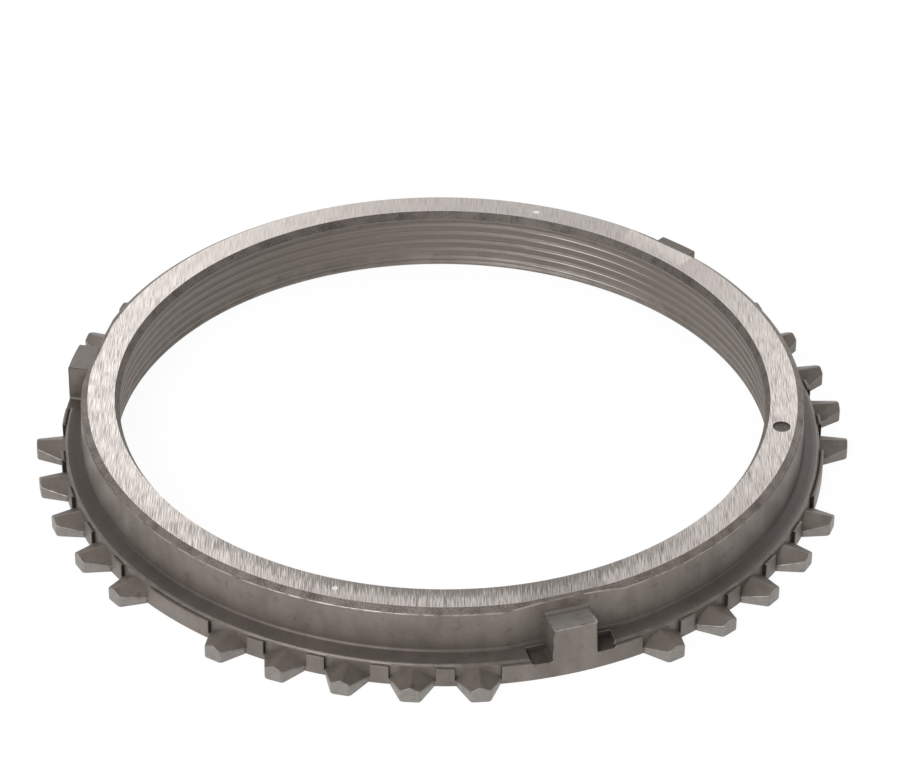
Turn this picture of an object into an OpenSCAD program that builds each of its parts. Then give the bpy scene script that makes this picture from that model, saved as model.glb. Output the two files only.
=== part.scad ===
// Synchronizer ring: one forged and machined piece of steel. Its bore is a ridged
// friction cone, its foot carries pointed blocker teeth, and three lugs drive it.
// The axis is Z. The origin lies on the axis, in the plane of the toothed foot.
// The first lug stands on -Y, and the ground face is on top.

/* [Ring body] */
// Height from the toothed foot to the ground top face
ring_height = 12; // [10.5:0.1:15]
// Outer radius of the ground top face
face_radius = 60; // [54:0.5:70]
// Radial width of the ground top face
face_width = 4.6; // [3.6:0.1:5.4]
// Radial width of the chamfer outside the top face
chamfer_width = 1.1; // [0.4:0.1:1.6]
// Height of the chamfer outside the top face
chamfer_drop = 0.75; // [0.3:0.05:1.2]
// Lean of the outer wall, in degrees from the axis
wall_draft = 2; // [0.5:0.5:4]
// Radius of the hollow where the wall meets the flange
foot_fillet = 0.6; // [0.3:0.1:0.9]
// How deep each flat beside a lug is cut into the wall
flat_depth = 0.8; // [0.4:0.1:1.2]
// Width of the low chamfer between a flat and the top face
flat_edge_width = 0.7; // [0.3:0.1:1]
// Height of the low chamfer between a flat and the top face
flat_edge_drop = 0.2; // [0.1:0.05:0.3]

/* [Friction cone] */
// Half angle of the cone, in degrees
cone_angle = 6.5; // [5:0.25:8]
// Radial width of the rough lip inside the top face
lip_width = 0.8; // [0.4:0.1:1.2]
// Height of the rough lip inside the top face
lip_drop = 1.25; // [0.8:0.05:1.8]
// Distance from one friction ridge to the next
ridge_pitch = 1.9; // [1.5:0.05:2.4]
// Width of each friction ridge's crest
crest_width = 0.3; // [0.2:0.05:0.5]
// Depth of the grooves between the friction ridges
groove_depth = 0.35; // [0.2:0.05:0.45]
// Chamfer round the large end of the cone
mouth_chamfer = 0.35; // [0.2:0.05:0.6]
// Height of the plain band between that chamfer and the first groove
mouth_land = 0.3; // [0.1:0.05:0.8]

/* [Flange] */
// Height of the flange at its rim
rim_height = 3.65; // [3.4:0.05:4.4]
// Width of the flange top between the wall's foot and its rim
shelf_width = 2.8; // [2.2:0.1:3.6]
// Slope of the flange top, in degrees
shelf_slope = 14; // [4:1:20]
// Chamfer on the rim
rim_chamfer = 0.35; // [0.2:0.05:0.5]
// How far the lands between the teeth stand out past the rim
land_step = 0.75; // [0.6:0.05:1.2]
// How far the lands lie below the rim
land_drop = 0.2; // [0.1:0.05:0.4]
// Width of the fine groove between the rim and the lands
seam_width = 0.3; // [0.2:0.05:0.4]
// Depth of the fine groove between the rim and the lands
seam_depth = 0.25; // [0.15:0.05:0.3]

/* [Teeth] */
// Tooth places in each third of the ring: two give way to the lug, one is left out
places = 13; // [11:2:15]
// How far a tooth reaches past the lands
tooth_reach = 4.1; // [3:0.1:5]
// Width of a tooth across its tip
tip_width = 3.1; // [2.4:0.1:3.6]
// Width of a tooth where it leaves the lands
root_width = 7; // [6:0.1:7.4]
// How far a tooth's roof ridge lies below the rim
roof_drop = 0.7; // [0.45:0.05:1]
// Slope of each side of a tooth's roof, in degrees
roof_slope = 27.5; // [20:0.5:30]
// Width of the step that a roof cuts into the land on each side of its tooth
shoulder_width = 0.2; // [0.1:0.05:0.8]
// Radius of the two upright corners of a tooth's tip
tip_round = 0.7; // [0.3:0.05:1]

/* [Lugs] */
// Width of each driving lug
lug_width = 7.4; // [5:0.1:9]
// Depth of the lug's top below the ground face
lug_drop = 2.55; // [2.4:0.05:4]
// Radius of the hollow between the lug's top and the wall
lug_fillet = 0.4; // [0.3:0.1:1.8]
// Width of the slot in the flange on each side of a lug
slot_gap = 3.45; // [2:0.05:4.5]
// Depth of the slot below the lands, past the fine groove's bottom
slot_depth = 0.35; // [0.35:0.05:0.8]
// Width of the ledge left between the slot and the flat behind it
slot_ledge = 0.7; // [0.6:0.05:1.5]
// Radius of the bottom corners at the slot's two ends
slot_round = 0.6; // [0.3:0.05:0.9]

/* [Marks] */
// Radius of the ball that left each hardness test dent
dent_ball = 0.9; // [0.5:0.1:1.5]
// Depth of each hardness test dent
dent_depth = 0.18; // [0.1:0.02:0.3]
// Angle from the first lug to one dent, in degrees; the other dent lies opposite
dent_angle = -36; // [-180:1:180]
// Diameter of the plain round punch mark
punch_d = 3; // [1.6:0.1:3.2]
// Depth of the plain round punch mark
punch_depth = 0.25; // [0.1:0.05:0.4]
// Angle from the first lug to the punch mark, in degrees
punch_angle = 60; // [-180:1:180]

/* [Hidden] */
$fn = 96;
// Number of lugs, and of like sectors
lugs = 3;
sector = 360 / lugs;
pitch = sector / places;
// Angle at which a rounded corner meets the faces beside it
edge_angle = 10;
// Reach of a hollow corner along its faces, for each unit of radius
hollow_reach = cos(edge_angle) - sin(edge_angle);
// Overlap that keeps a cutter clear of the surface it starts from
clear = 1;

// Wall: radius at a height, with the top of the wall under the chamfer
wall_top = ring_height - chamfer_drop;
wall_top_r = face_radius + chamfer_width;
function wall_r(h) = wall_top_r + (wall_top - h) * tan(wall_draft);

// Flange: the shelf falls from the wall's foot to the rim, and the lands lie past it
foot_h = rim_height + shelf_width * tan(shelf_slope);
foot_r = wall_r(foot_h);
rim_r = foot_r + shelf_width;
land_r = rim_r + land_step;
land_h = rim_height - land_drop;

// Flats beside the lugs follow the wall's lean up to their own chamfer
function flat_r(h) = wall_r(h) - flat_depth;
flat_top = ring_height - flat_edge_drop;
function flat_edge_r(h) = flat_r(flat_top) - (h - flat_top) * flat_edge_width / flat_edge_drop;

// Cone: radius at a height, widest at the toothed foot
lip_r = face_radius - face_width;
throat_r = lip_r - lip_width;
throat_h = ring_height - lip_drop;
function cone_r(h) = throat_r + (throat_h - h) * tan(cone_angle);
// Friction ridges that fit between the mouth and the lip, with a groove above the last one
first_ridge = mouth_chamfer + mouth_land + ridge_pitch / 2;
ridge_room = throat_h - first_ridge - ridge_pitch / 2 - groove_depth;
ridge_count = floor(ridge_room / ridge_pitch) + 1;

// Middle of the ground face: the marks lie on it, and the lugs reach in to it
face_mid_r = (lip_r + face_radius) / 2;

// Teeth
tip_r = land_r + tooth_reach;
tooth_height = rim_height - roof_drop;
roof_half = root_width / 2 + shoulder_width;

// Lugs: the hollow behind a lug ends below the chamfer
lug_h = ring_height - lug_drop;
lug_hollow = min(lug_fillet, (lug_drop - chamfer_drop) / hollow_reach);
slot_width = lug_width + 2 * slot_gap;
slot_floor = land_h - slot_depth;

// One copy on each lug's place
module at_lugs() {
    for (k = [0 : lugs - 1])
        rotate([0, 0, k * sector]) children();
}

// One copy on each tooth's place, with the middle of each sector left out
module at_teeth() {
    for (k = [0 : lugs - 1], p = [1 : places - 2])
        if (p != (places - 1) / 2)
            rotate([0, 0, k * sector + (p + 0.5) * pitch]) children();
}

// A bar along the tangent at -Y: its outline gives the distance from the axis and the height
module tangent_bar(width) {
    rotate([0, 0, -90])
        translate([0, width / 2, 0])
            rotate([90, 0, 0])
                linear_extrude(height = width) children();
}

// The hollow corner between the leaning wall and a top that falls away from it at a slope
module hollow_corner(foot, slope, radius) {
    lean = [cos(wall_draft), sin(wall_draft)];
    rise = [sin(slope), cos(slope)];
    // The hollow meets both faces at a small angle, so that its edges stay crisp
    depth = radius * cos(edge_angle);
    centre = foot + (lean + rise) * depth / (1 + sin(slope + wall_draft));
    // Start of the corner, inside the wall and below the top
    inside = foot - (lean + rise) * radius;
    difference() {
        polygon([inside, centre - lean * depth, centre, centre - rise * depth]);
        translate(centre) circle(radius);
    }
}

// What rounding takes from an outside corner, with the outward directions of its two faces
module corner_waste(corner, first, second, radius) {
    open = 1 + first * second;
    depth = radius * cos(edge_angle);
    reach = depth + clear;
    centre = corner - (first + second) * depth / open;
    difference() {
        polygon([
            centre,
            centre + first * reach,
            centre + (first + second) * reach / open,
            centre + second * reach
        ]);
        translate(centre) circle(radius);
    }
}

// The hollow corner between the shelf and the wall's foot, at the given radius
module foot_corner(r) {
    hollow_corner([r, foot_h + (foot_r - r) * tan(shelf_slope)], shelf_slope, foot_fillet);
}

// The upright wall with the hollow round its foot, and a flat beside each lug
module wall() {
    difference() {
        rotate_extrude() {
            polygon([
                [throat_r - clear, 0],
                [wall_r(0), 0],
                [wall_top_r, wall_top],
                [face_radius, ring_height],
                [throat_r - clear, ring_height]
            ]);
            foot_corner(foot_r);
        }
        at_lugs()
            tangent_bar(2 * wall_r(0))
                difference() {
                    polygon([
                        [flat_r(-clear), -clear],
                        [2 * wall_r(0), -clear],
                        [2 * wall_r(0), ring_height + clear],
                        [flat_edge_r(ring_height + clear), ring_height + clear],
                        [flat_r(flat_top), flat_top]
                    ]);
                    foot_corner(foot_r - flat_depth);
                }
    }
}

// The flange before its edge is turned, with the fine groove between its rim and the lands
module flange() {
    rotate_extrude()
        polygon([
            [lip_r, 0],
            [land_r + clear, 0],
            [land_r + clear, land_h],
            [rim_r + seam_width, land_h],
            [rim_r, land_h - seam_depth],
            [rim_r, rim_height - rim_chamfer],
            [rim_r - rim_chamfer, rim_height],
            [foot_r, foot_h],
            [lip_r, foot_h + (foot_r - lip_r) * tan(shelf_slope)]
        ]);
}

// One tooth on -Y before its roof is pointed, with its heel inside the rim
module tooth() {
    flank = atan2((root_width - tip_width) / 2, tooth_reach);
    linear_extrude(height = tooth_height)
        difference() {
            polygon([
                [-root_width / 2, clear - rim_r],
                [-root_width / 2, -land_r],
                [-tip_width / 2, -tip_r],
                [tip_width / 2, -tip_r],
                [root_width / 2, -land_r],
                [root_width / 2, clear - rim_r]
            ]);
            for (side = [-1, 1])
                corner_waste(
                    [side * tip_width / 2, -tip_r],
                    [0, -1], [side * cos(flank), -sin(flank)], tip_round
                );
        }
}

// What the pointing takes away above one tooth's roof, on -Y
module roof_cut() {
    eave_h = tooth_height - roof_half * tan(roof_slope);
    translate([0, clear - rim_r, 0])
        rotate([90, 0, 0])
            linear_extrude(height = tip_r - rim_r + 2 * clear)
                polygon([
                    [-roof_half, eave_h],
                    [0, tooth_height],
                    [roof_half, eave_h],
                    [roof_half, ring_height],
                    [-roof_half, ring_height]
                ]);
}

// One driving lug on -Y before its end is turned, with a hollow up to the flat behind it
module lug() {
    tangent_bar(lug_width) {
        translate([face_mid_r, 0]) square([land_r + clear - face_mid_r, lug_h]);
        hollow_corner([flat_r(lug_h), lug_h], 0, lug_hollow);
    }
}

// The slot in the flange round one lug, on -Y
module slot() {
    back_r = flat_r(slot_floor) + slot_ledge;
    translate([0, -back_r, 0])
        rotate([90, 0, 0])
            linear_extrude(height = land_r + 2 * clear - back_r)
                difference() {
                    translate([-slot_width / 2, slot_floor]) square([slot_width, ring_height]);
                    for (side = [-1, 1])
                        corner_waste(
                            [side * slot_width / 2, slot_floor], [side, 0], [0, -1], slot_round
                        );
                }
}

// The wall and flange with their lugs, turned so that lugs and lands are flush
module lugged_ring() {
    intersection() {
        union() {
            difference() {
                union() {
                    wall();
                    flange();
                }
                at_lugs() slot();
            }
            at_lugs() lug();
        }
        translate([0, 0, -clear]) cylinder(r = land_r, h = ring_height + 2 * clear);
    }
}

// The ring with its pointed teeth
module toothed_ring() {
    difference() {
        union() {
            lugged_ring();
            at_teeth() tooth();
        }
        difference() {
            at_teeth() roof_cut();
            translate([0, 0, -clear]) cylinder(r = rim_r, h = ring_height + 3 * clear);
        }
    }
}

// The friction cone with its ridges, the rough lip above it and the mouth below it
module bore() {
    half = crest_width / 2;
    mouth_top = mouth_chamfer + mouth_land;
    ridges = [
        for (i = [0 : ridge_count - 1])
            let (h = first_ridge + i * ridge_pitch)
            each [
                [cone_r(h - half - groove_depth) + groove_depth, h - half - groove_depth],
                [cone_r(h - half), h - half],
                [cone_r(h + half), h + half],
                [cone_r(h + half + groove_depth) + groove_depth, h + half + groove_depth]
            ]
    ];
    last_groove = first_ridge + (ridge_count - 0.5) * ridge_pitch;
    rotate_extrude()
        polygon(concat(
            [
                [0, -clear],
                [cone_r(0) + mouth_chamfer + clear, -clear],
                [cone_r(0) + mouth_chamfer, 0],
                [cone_r(mouth_chamfer), mouth_chamfer],
                [cone_r(mouth_top), mouth_top]
            ],
            ridges,
            [
                [cone_r(last_groove) + groove_depth, last_groove],
                [cone_r(last_groove + groove_depth), last_groove + groove_depth],
                [throat_r, throat_h],
                [lip_r, ring_height],
                [lip_r + clear * lip_width / lip_drop, ring_height + clear],
                [0, ring_height + clear]
            ]
        ));
}

// Two hardness test dents and one plain round punch mark in the ground face
module marks() {
    for (a = [dent_angle, dent_angle + 180])
        rotate([0, 0, a])
            translate([0, -face_mid_r, ring_height + dent_ball - dent_depth])
                rotate([90, 0, 0]) sphere(r = dent_ball);
    rotate([0, 0, punch_angle])
        translate([0, -face_mid_r, ring_height - punch_depth])
            cylinder(d = punch_d, h = punch_depth + clear);
}

module synchronizer_ring() {
    color([0.45, 0.42, 0.40])
        difference() {
            toothed_ring();
            bore();
            marks();
        }
}

synchronizer_ring();
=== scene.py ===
"""Dresses the synchronizer ring: one forged and machined steel ring on a plain pale stage."""

import math

import bmesh
import bpy
from bpy.props import FloatProperty, FloatVectorProperty, IntProperty, PointerProperty
from mathutils import Matrix, Vector


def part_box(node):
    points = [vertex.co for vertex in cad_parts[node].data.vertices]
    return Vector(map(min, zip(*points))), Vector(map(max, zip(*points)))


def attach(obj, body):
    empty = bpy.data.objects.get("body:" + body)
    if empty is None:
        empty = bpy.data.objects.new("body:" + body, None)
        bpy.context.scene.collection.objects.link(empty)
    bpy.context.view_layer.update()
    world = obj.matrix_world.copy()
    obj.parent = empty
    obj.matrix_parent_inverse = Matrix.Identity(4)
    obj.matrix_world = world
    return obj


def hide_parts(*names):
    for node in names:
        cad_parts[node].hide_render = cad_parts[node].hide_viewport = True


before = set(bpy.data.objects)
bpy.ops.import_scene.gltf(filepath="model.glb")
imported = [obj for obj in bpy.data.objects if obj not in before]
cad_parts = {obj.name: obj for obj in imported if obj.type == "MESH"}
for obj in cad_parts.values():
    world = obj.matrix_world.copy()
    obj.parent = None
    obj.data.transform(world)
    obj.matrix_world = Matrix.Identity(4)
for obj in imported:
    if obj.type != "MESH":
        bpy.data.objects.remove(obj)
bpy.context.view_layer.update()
RING_NODE = "synchronizer_ring"
RING_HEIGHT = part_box(RING_NODE)[1].z
MM = 0.001

bl_info = {
    "name": "Synchronizer Ring",
    "version": (1, 0, 0),
    "blender": (4, 5, 0),
    "location": "3D View > Sidebar > Synchronizer Ring",
    "description": "Models a steel synchronizer ring with teeth, lugs and friction cone, and its stage",
    "category": "Add Mesh",
}


def length(name, description, default):
    """A size in metres, given in millimetres."""
    return FloatProperty(
        name=name, description=description, default=default * MM, unit="LENGTH", precision=5
    )


def angle(name, description, default):
    """An angle in radians, given in degrees."""
    return FloatProperty(
        name=name, description=description, default=math.radians(default), unit="ROTATION"
    )


def colour(name, description, default):
    """A linear colour."""
    return FloatVectorProperty(
        name=name, description=description, default=default, subtype="COLOR", min=0, max=1
    )


class RingSizes(bpy.types.PropertyGroup):
    """Sizes of the ring, as in its drawing"""

    ring_height: FloatProperty(
        name="Ring height", description="Height of the ring from its foot to its ground face",
        default=RING_HEIGHT, unit="LENGTH", precision=5,
    )
    face_radius: length("Face radius", "Outer radius of the ground face", 60)
    face_width: length("Face width", "Radial width of the ground face", 4.6)
    chamfer_width: length("Chamfer width", "Radial width of the rough chamfer outside the face", 1.1)
    chamfer_drop: length("Chamfer drop", "Height of the rough chamfer", 0.75)
    wall_draft: angle("Wall draft", "Lean of the wall, widest at its foot", 2)
    foot_fillet: length("Foot fillet", "Radius of the hollow round the wall's foot", 0.6)
    flat_depth: length("Flat depth", "Depth of the flat in the wall beside each lug", 0.8)
    flat_edge_width: length("Flat edge width", "Width of the low chamfer on top of a flat", 0.7)
    flat_edge_drop: length("Flat edge drop", "Height of the low chamfer on top of a flat", 0.2)
    cone_angle: angle("Cone angle", "Half angle of the friction cone", 6.5)
    lip_width: length("Lip width", "Radial width of the rough lip inside the face", 0.8)
    lip_drop: length("Lip drop", "Height of the rough lip", 1.25)
    ridge_pitch: length("Ridge pitch", "Height from one friction ridge to the next", 1.9)
    crest_width: length("Crest width", "Width of a ridge's flat crest", 0.3)
    groove_depth: length("Groove depth", "Depth of the grooves between the ridges", 0.35)
    mouth_chamfer: length("Mouth chamfer", "Chamfer at the mouth of the cone", 0.35)
    mouth_land: length("Mouth land", "Plain stretch of the cone inside its mouth", 0.3)
    rim_height: length("Rim height", "Height of the flange at its rim", 3.65)
    shelf_width: length("Shelf width", "Radial width of the sloping shelf", 2.8)
    shelf_slope: angle("Shelf slope", "Fall of the shelf towards its rim", 14)
    rim_chamfer: length("Rim chamfer", "Small chamfer along the rim", 0.35)
    land_step: length("Land step", "How far the lands stand out past the rim", 0.75)
    land_drop: length("Land drop", "How far the lands lie below the rim", 0.2)
    seam_width: length("Seam width", "Width of the fine groove between rim and lands", 0.3)
    seam_depth: length("Seam depth", "Depth of the fine groove", 0.25)
    tooth_reach: length("Tooth reach", "How far a tooth stands out past the lands", 4.1)
    tip_width: length("Tip width", "Width of a tooth at its tip", 3.1)
    tip_round: length("Tip round", "Radius of the upright corners of a tooth's tip", 0.7)
    root_width: length("Root width", "Width of a tooth at its root", 7)
    roof_drop: length("Roof drop", "How far a tooth's ridge lies below the rim", 0.7)
    roof_slope: angle("Roof slope", "Slope of the two halves of a tooth's roof", 27.5)
    shoulder_width: length("Shoulder width", "Width of the cut beside each tooth's root", 0.2)
    lug_width: length("Lug width", "Width of a driving lug", 7.4)
    lug_drop: length("Lug drop", "How far a lug's top lies below the ground face", 2.55)
    lug_fillet: length("Lug fillet", "Radius of the hollow behind a lug's top", 0.4)
    lug_band: length("Lug band", "Height of the smooth band on the wall behind a lug's top", 0.75)
    lug_round: length("Lug round", "Rounding of a lug's edges", 0.28)
    lug_foot: length("Lug foot", "Radius of the hollow along a lug's foot", 0.5)
    slot_gap: length("Slot gap", "Width of the slot on each side of a lug", 3.45)
    slot_depth: length("Slot depth", "Depth of the slot below the lands", 0.35)
    slot_ledge: length("Slot ledge", "Width of the ledge left between a slot and the flat", 0.7)
    slot_round: length("Slot round", "Radius of the bottom corners at a slot's ends", 0.6)
    dent_ball: length("Dent ball", "Radius of the ball that left each hardness dent", 0.9)
    dent_depth: length("Dent depth", "Depth of a hardness dent", 0.18)
    dent_angle: angle("Dent angle", "Angle from the first lug to one dent", -36)
    punch_width: length("Punch width", "Diameter of the plain round punch mark", 3)
    punch_depth: length("Punch depth", "Depth of the plain round punch mark", 0.25)
    punch_angle: angle("Punch angle", "Angle from the first lug to the punch mark", 60)
    edge_round: length("Edge round", "Rounding of the machined edges", 0.13)
    ridge_round: length("Ridge round", "Rounding of the ridge of a tooth's roof", 0.3)
    lugs: IntProperty(name="Lugs", description="Number of driving lugs", default=3, min=1)
    places: IntProperty(name="Places", description="Tooth places from lug to lug", default=13, min=5)
    place_steps: IntProperty(
        name="Steps", description="Straight steps of the round surfaces in one tooth place",
        default=12, min=4,
    )


class RingColours(bpy.types.PropertyGroup):
    """Colours of the ring's surfaces"""

    steel: colour("Steel", "Satin grey-brown steel of wall, flange and teeth", (0.228, 0.198, 0.175))
    steel_dark: colour("Dark steel", "Darker patches of the satin steel", (0.163, 0.140, 0.122))
    skin: colour("Forged skin", "Rough band outside the face", (0.235, 0.200, 0.174))
    skin_dark: colour("Dark skin", "Dark grains of the forged skin", (0.075, 0.060, 0.052))
    lip: colour("Lip skin", "Rough band inside the face, and the punch mark", (0.152, 0.129, 0.112))
    lip_dark: colour("Dark lip skin", "Dark grains of the lip's skin", (0.045, 0.036, 0.031))
    ground: colour("Ground steel", "Bright ground face", (0.88, 0.81, 0.77))
    ground_dark: colour("Ground streak", "Darker streaks of the ground face", (0.32, 0.285, 0.26))
    cone: colour("Cone", "Turned grooves of the friction cone", (0.212, 0.181, 0.161))
    crest: colour("Crest", "Rubbed crests of the friction ridges", (0.215, 0.190, 0.171))
    # Bright worn metal, also laid on as a painted highlight at the front and on the teeth's edges
    worn_and_highlight: colour("Worn edge", "Bright worn edges", (0.39, 0.343, 0.308))
    rubbed: colour("Rubbed edge", "Lightly rubbed edges of rim and lands", (0.16, 0.140, 0.125))
    # On the lugs' tops the paler steel is painted light from above
    pale: colour("Pale steel", "Paler sides of the teeth and tops of the lugs", (0.268, 0.252, 0.234))
    dent: colour("Dent", "Bright bottom of the dents, and bright edges of the crests", (0.92, 0.88, 0.85))
    # Painted shade on the wall's foot, the shelf, the slots and the seam, where shade falls
    painted_shade: colour("Painted_shade", "Dark grime on wall, shelf and slots", (0.034, 0.023, 0.018))


class StageSettings(bpy.types.PropertyGroup):
    """Camera and light"""

    view_azimuth: angle("Azimuth", "Direction of the view round the ring's axis", -19.07)
    view_elevation: angle("Elevation", "Height of the view above the floor", 35.128)
    view_roll: angle("Roll", "Tilt of the view about its own axis", 0.332)
    view_distance: length("Distance", "Distance from the ground face's centre", 651.2)
    lens: FloatProperty(name="Lens", description="Focal length", default=151.0, unit="CAMERA")
    floor_size: length("Floor size", "Width of the floor", 6000)
    backdrop: colour("Backdrop", "Colour of the floor and the room", (1.0, 1.0, 1.0))


class RingShape:
    """Radii and heights that follow from the ring's sizes."""

    def __init__(self, sizes):
        self.sizes = sizes
        self.wall_top = sizes.ring_height - sizes.chamfer_drop
        self.wall_top_r = sizes.face_radius + sizes.chamfer_width
        self.foot_h = sizes.rim_height + sizes.shelf_width * math.tan(sizes.shelf_slope)
        self.foot_r = self.wall_r(self.foot_h)
        self.rim_r = self.foot_r + sizes.shelf_width
        self.land_r = self.rim_r + sizes.land_step
        self.land_h = sizes.rim_height - sizes.land_drop
        self.flat_top = sizes.ring_height - sizes.flat_edge_drop
        self.lip_r = sizes.face_radius - sizes.face_width
        self.throat_r = self.lip_r - sizes.lip_width
        self.throat_h = sizes.ring_height - sizes.lip_drop
        self.face_mid_r = (self.lip_r + sizes.face_radius) / 2
        self.tip_r = self.land_r + sizes.tooth_reach
        self.tooth_h = sizes.rim_height - sizes.roof_drop
        self.lug_h = sizes.ring_height - sizes.lug_drop
        self.slot_half = sizes.lug_width / 2 + sizes.slot_gap
        self.slot_floor = self.land_h - sizes.slot_depth
        self.steps = sizes.lugs * sizes.places * sizes.place_steps
        self.sector = math.tau / sizes.lugs
        self.pitch = self.sector / sizes.places

    def wall_r(self, h):
        """Radius of the leaning wall at a height."""
        return self.wall_top_r + (self.wall_top - h) * math.tan(self.sizes.wall_draft)

    def flat_r(self, h):
        """Distance of a flat from the axis at a height."""
        return self.wall_r(h) - self.sizes.flat_depth

    def flat_edge_r(self, h):
        """Distance of the low chamfer on top of a flat from the axis at a height."""
        slant = self.sizes.flat_edge_width / self.sizes.flat_edge_drop
        return self.flat_r(self.flat_top) - (h - self.flat_top) * slant

    def shelf_h(self, r):
        """Height of the sloping shelf at a radius."""
        return self.foot_h + (self.foot_r - r) * math.tan(self.sizes.shelf_slope)

    def cone_r(self, h):
        """Radius of the friction cone's crests at a height."""
        return self.throat_r + (self.throat_h - h) * math.tan(self.sizes.cone_angle)

    def lug_angles(self):
        """Angles from the first lug to each lug."""
        return [k * self.sector for k in range(self.sizes.lugs)]

    def tooth_angles(self):
        """Angles from the first lug to each tooth: none beside a lug or midway between two."""
        places = self.sizes.places
        kept = [p for p in range(1, places - 1) if p != (places - 1) // 2]
        return [lug + (p + 0.5) * self.pitch for lug in self.lug_angles() for p in kept]

    def punch_place(self):
        """Middle of the punch mark."""
        start = Vector((0, -self.face_mid_r, self.sizes.ring_height))
        return Matrix.Rotation(self.sizes.punch_angle, 3, "Z") @ start

    def at_first_lug(self, point):
        """A point turned with its nearest lug to the first lug."""
        turn = math.atan2(point.x, -point.y)
        nearest = round(turn / self.sector) * self.sector
        return Matrix.Rotation(-nearest, 3, "Z") @ point


# Outlines in the plane of radius and height

# Angle at which a hollow meets the faces beside it
HOLLOW_EDGE_ANGLE = math.radians(10)
# Straight steps of a hollow, and of a round corner
HOLLOW_STEPS = 8
CORNER_STEPS = 5
# How far a cutting body reaches past the surface that it cuts
CLEAR = 1 * MM


def hollow(shape, foot, slope, radius):
    """Points of the hollow corner between the leaning wall and a top that falls away at a slope,
    from the top up to the wall. The hollow meets both faces at a small angle."""
    draft = shape.sizes.wall_draft
    lean = Vector((math.cos(draft), math.sin(draft)))
    rise = Vector((math.sin(slope), math.cos(slope)))
    depth = radius * math.cos(HOLLOW_EDGE_ANGLE)
    centre = Vector(foot) + (lean + rise) * depth / (1 + math.sin(slope + draft))
    start = math.atan2(-rise.y, -rise.x) + HOLLOW_EDGE_ANGLE
    end = math.atan2(-lean.y, -lean.x) - HOLLOW_EDGE_ANGLE
    turns = [start + (end - start) * i / HOLLOW_STEPS for i in range(HOLLOW_STEPS + 1)]
    return [(centre.x + radius * math.cos(t), centre.y + radius * math.sin(t)) for t in turns]


def first_ridge(sizes):
    """Height of the lowest friction ridge's middle."""
    return sizes.mouth_chamfer + sizes.mouth_land + sizes.ridge_pitch / 2


def ridge_outline(shape):
    """Crests and grooves of the friction cone, from the mouth up."""
    sizes = shape.sizes
    half, deep = sizes.crest_width / 2, sizes.groove_depth
    first = first_ridge(sizes)
    count = int((shape.throat_h - first - sizes.ridge_pitch / 2 - deep) / sizes.ridge_pitch) + 1
    points = []
    for i in range(count):
        h = first + i * sizes.ridge_pitch
        points += [
            (shape.cone_r(h - half - deep) + deep, h - half - deep),
            (shape.cone_r(h - half), h - half),
            (shape.cone_r(h + half), h + half),
            (shape.cone_r(h + half + deep) + deep, h + half + deep),
        ]
    last = first + (count - 0.5) * sizes.ridge_pitch
    points.append((shape.cone_r(last) + deep, last))
    points.append((shape.cone_r(last + deep), last + deep))
    return points


def bore_outline(shape):
    """The mouth, the ridged cone and the lip, from the foot up to the ground face."""
    sizes = shape.sizes
    mouth_top = sizes.mouth_chamfer + sizes.mouth_land
    return [
        (shape.cone_r(0) + sizes.mouth_chamfer, 0),
        (shape.cone_r(sizes.mouth_chamfer), sizes.mouth_chamfer),
        (shape.cone_r(mouth_top), mouth_top),
        *ridge_outline(shape),
        (shape.throat_r, shape.throat_h),
        (shape.lip_r, sizes.ring_height),
    ]


def outside_outline(shape):
    """The wall, the shelf, the rim and the lands, from the ground face down to the foot."""
    sizes = shape.sizes
    foot = hollow(shape, (shape.foot_r, shape.foot_h), sizes.shelf_slope, sizes.foot_fillet)
    return [
        (sizes.face_radius, sizes.ring_height),
        (shape.wall_top_r, shape.wall_top),
        *reversed(foot),
        (shape.rim_r - sizes.rim_chamfer, sizes.rim_height),
        (shape.rim_r, sizes.rim_height - sizes.rim_chamfer),
        (shape.rim_r, shape.land_h - sizes.seam_depth),
        (shape.rim_r + sizes.seam_width, shape.land_h),
        (shape.land_r + CLEAR, shape.land_h),
        (shape.land_r + CLEAR, 0),
    ]


# Solids that make up the ring


def turned(bm, outline, steps):
    """Turns a closed outline of radius and height once round the axis."""
    verts = [bm.verts.new((r, 0, h)) for r, h in outline]
    edges = [bm.edges.new(pair) for pair in zip(verts, verts[1:] + verts[:1])]
    bmesh.ops.spin(
        bm, geom=verts + edges, cent=(0, 0, 0), axis=(0, 0, 1), angle=math.tau,
        steps=steps, use_merge=True,
    )
    bmesh.ops.recalc_face_normals(bm, faces=bm.faces)


def extruded(bm, face, way):
    """Extrudes a flat face into a solid."""
    grown = bmesh.ops.extrude_face_region(bm, geom=[face], use_keep_orig=True)["geom"]
    verts = [v for v in grown if isinstance(v, bmesh.types.BMVert)]
    bmesh.ops.translate(bm, verts=verts, vec=way)
    bmesh.ops.recalc_face_normals(bm, faces=bm.faces)


def flat_face(bm, points):
    """One flat face through a few points."""
    return bm.faces.new([bm.verts.new(p) for p in points])


def tangent_bar(bm, outline, width):
    """A bar along the tangent at -Y: its outline gives the distance from the axis and the height."""
    extruded(bm, flat_face(bm, [(-width / 2, -r, h) for r, h in outline]), (width, 0, 0))


def radial_bar(bm, outline, start, end):
    """A bar that runs outwards on -Y: its outline gives the place along the tangent and the height."""
    extruded(bm, flat_face(bm, [(x, -start, h) for x, h in outline]), (0, start - end, 0))


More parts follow.
